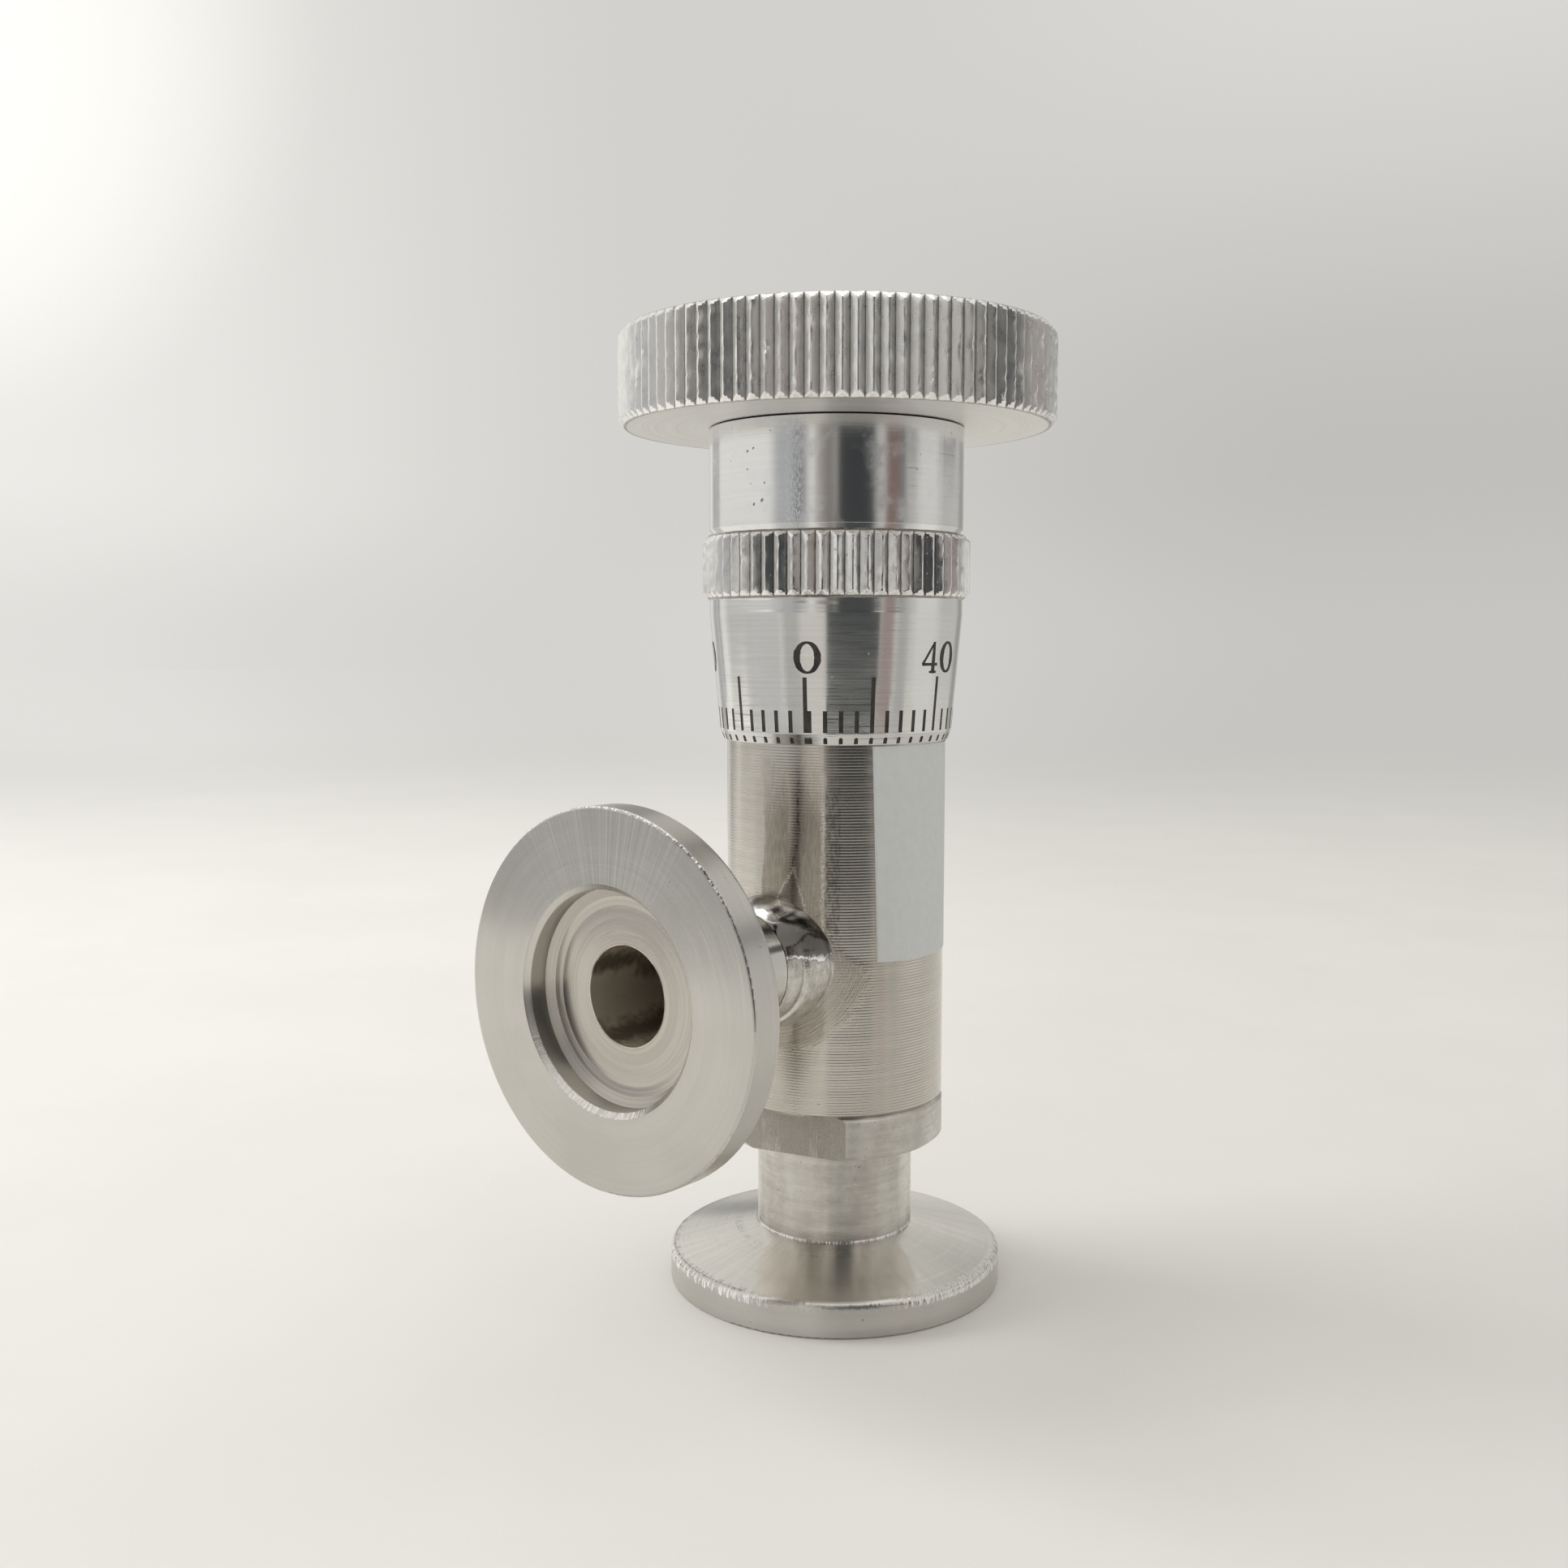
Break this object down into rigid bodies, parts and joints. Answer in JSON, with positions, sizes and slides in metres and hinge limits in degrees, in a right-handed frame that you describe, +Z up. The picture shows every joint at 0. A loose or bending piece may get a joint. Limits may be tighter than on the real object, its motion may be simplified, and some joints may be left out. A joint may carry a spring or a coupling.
{
  "type": "vacuum needle valve",
  "caption": "Fine vacuum needle valve with clamp-flange ports below and at the side, a graduated dial sleeve, a knurled lock ring and a knurled handwheel.",
  "frame": {"origin": "middle of the lower flange's sealing face", "axes": "+Z up along the screw and needle axis, -Y out of the side port"},
  "size_m": [0.0382, 0.0486, 0.0844],
  "materials": {
    "valve_barrel": "fine turned stainless steel",
    "side_port": "turned stainless steel",
    "weld_bead": "ground and polished weld",
    "inlet_fitting": "turned stainless steel",
    "inlet_seal": "black rubber",
    "valve_seat": "white sealing plastic",
    "stem_gland": "turned bronze",
    "gland_seal": "black rubber",
    "stem_seals": "black rubber",
    "spring_sleeve": "turned stainless steel",
    "return_spring": "drawn spring wire",
    "screw_nut": "turned bronze",
    "lock_screw": "hardened steel",
    "label": "blank matt label",
    "needle": "polished hardened steel",
    "needle_stem": "ground stainless steel",
    "cross_pin": "hardened steel",
    "thrust_ball": "polished bearing ball",
    "micrometer_screw": "ground steel screw",
    "graduated_thimble": "satin aluminium with black marks",
    "lock_ring": "knurled bare aluminium",
    "neck_sleeve": "polished aluminium",
    "drive_key": "key steel",
    "handwheel": "matt blasted aluminium",
    "handwheel_washer": "plain washer",
    "handwheel_screw": "stainless screw"
  },
  "bodies": {
    "valve": {"valve_barrel": "valve_barrel", "side_port": "side_port", "weld_bead": "weld_bead", "inlet_fitting": "inlet_fitting", "inlet_seal": "inlet_seal", "valve_seat": "valve_seat", "stem_gland": "stem_gland", "gland_seal": "gland_seal", "stem_seals": "stem_seals", "spring_sleeve": "spring_sleeve", "return_spring": "return_spring", "screw_nut": "screw_nut", "lock_screw": "lock_screw", "label": "label"},
    "stem": {"needle": "needle", "needle_stem": "needle_stem", "cross_pin": "cross_pin", "thrust_ball": "thrust_ball"},
    "screw_head": {"micrometer_screw": "micrometer_screw", "graduated_thimble": "graduated_thimble", "lock_ring": "lock_ring", "neck_sleeve": "neck_sleeve", "drive_key": "drive_key", "handwheel": "handwheel", "handwheel_washer": "handwheel_washer", "handwheel_screw": "handwheel_screw"}
  },
  "joints": [
    {"name": "stem_lift", "type": "slide", "parent": "valve", "child": "stem", "axis": [0, 0, 1], "range_m": [0, 0.003], "deforming": ["return_spring"]},
    {"name": "handwheel_turn", "type": "hinge", "parent": "stem", "child": "screw_head", "pos_m": [0, 0, 0.08], "axis": [0, 0, 1], "range_deg": [0, 2159.9]}
  ],
  "couplings": [
    {"joint": "stem_lift", "follows": "handwheel_turn", "m_per_rad": 0.000079577}
  ]
}
